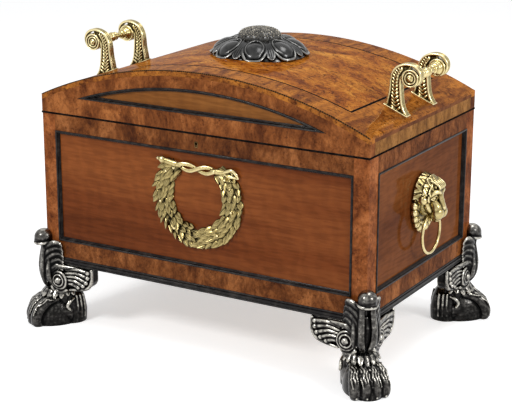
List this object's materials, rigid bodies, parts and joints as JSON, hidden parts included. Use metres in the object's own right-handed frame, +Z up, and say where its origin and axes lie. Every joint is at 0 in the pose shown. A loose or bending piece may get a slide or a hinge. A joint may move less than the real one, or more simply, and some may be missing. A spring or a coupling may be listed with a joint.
{
  "type": "cellarette",
  "caption": "Panelled wine chest with an arched hinged lid, lifting handles, lion ring masks, a laurel wreath and carved paw feet.",
  "frame": {"origin": "on the floor, under the middle of the case", "axes": "+X to the right along the front, +Y to the back, +Z up; the front faces -Y"},
  "size_m": [0.9196, 0.6376, 0.6745],
  "materials": {
    "frame_veneer": "polished burr veneer",
    "panel_veneer": "polished mahogany",
    "lid_veneer": "glossy burr veneer",
    "ebonised_wood": "ebonised, satin",
    "carved_wood": "carved, dark bronzed polish",
    "inner_wood": "plain, matt",
    "gilt_mounts": "gilt, satin",
    "gilt_handles": "gilt, burnished",
    "rosette_petals": "carved, dark bronzed, rubbed edges",
    "rosette_pod": "carved, pebbled",
    "plain_brass": "satin",
    "lead": "dull lead sheet"
  },
  "bodies": {
    "case": {"back_bottom_rail": "frame_veneer", "back_left_foot": "carved_wood", "back_left_foot_wings": "carved_wood", "back_left_post": "frame_veneer", "back_panel": "panel_veneer", "back_right_foot": "carved_wood", "back_right_foot_wings": "carved_wood", "back_right_post": "frame_veneer", "back_top_rail": "frame_veneer", "base_moulding": "ebonised_wood", "bottom_board": "inner_wood", "case_bead": "ebonised_wood", "case_hinge_leaves": "plain_brass", "divider_cross_slats": "inner_wood", "divider_long_slats": "inner_wood", "front_bottom_rail": "frame_veneer", "front_left_foot": "carved_wood", "front_left_foot_wings": "carved_wood", "front_left_post": "frame_veneer", "front_panel": "panel_veneer", "front_panel_moulding": "ebonised_wood", "front_right_foot": "carved_wood", "front_right_foot_wings": "carved_wood", "front_right_post": "frame_veneer", "front_top_rail": "frame_veneer", "hinge_pins": "plain_brass", "keyhole_escutcheon": "plain_brass", "laurel_wreath": "gilt_mounts", "lead_liner": "lead", "left_bottom_rail": "frame_veneer", "left_lion_mask": "gilt_mounts", "left_panel": "panel_veneer", "left_panel_moulding": "ebonised_wood", "left_top_rail": "frame_veneer", "lock_case": "plain_brass", "right_bottom_rail": "frame_veneer", "right_lion_mask": "gilt_mounts", "right_panel": "panel_veneer", "right_panel_moulding": "ebonised_wood", "right_top_rail": "frame_veneer", "wreath_ribbon": "gilt_mounts"},
    "lid": {"lid_back_frame": "frame_veneer", "lid_front_frame": "frame_veneer", "lid_front_moulding": "ebonised_wood", "lid_front_panel": "panel_veneer", "lid_handle_bars": "gilt_handles", "lid_handle_brackets": "gilt_handles", "lid_hinge_leaves": "plain_brass", "lid_left_rail": "frame_veneer", "lid_right_rail": "frame_veneer", "lid_rosette": "rosette_petals", "lid_stringing": "ebonised_wood", "lid_top": "lid_veneer", "link_plate": "plain_brass", "rosette_seed_pod": "rosette_pod"},
    "bolt": {"lock_bolt": "plain_brass"},
    "left_ring": {"left_ring": "gilt_mounts"},
    "right_ring": {"right_ring": "gilt_mounts"}
  },
  "joints": [
    {"name": "lid_hinge", "type": "hinge", "parent": "case", "child": "lid", "pos_m": [0, 0.2659, 0.49], "axis": [-1, 0, 0], "range_deg": [0, 95]},
    {"name": "bolt_slide", "type": "slide", "parent": "case", "child": "bolt", "axis": [1, 0, 0], "range_m": [0, 0.008]},
    {"name": "left_ring_swing", "type": "hinge", "parent": "case", "child": "left_ring", "pos_m": [-0.42, 0, 0.316], "axis": [0, 1, 0], "range_deg": [-8, 75]},
    {"name": "right_ring_swing", "type": "hinge", "parent": "case", "child": "right_ring", "pos_m": [0.42, 0, 0.316], "axis": [0, -1, 0], "range_deg": [-8, 75]}
  ]
}
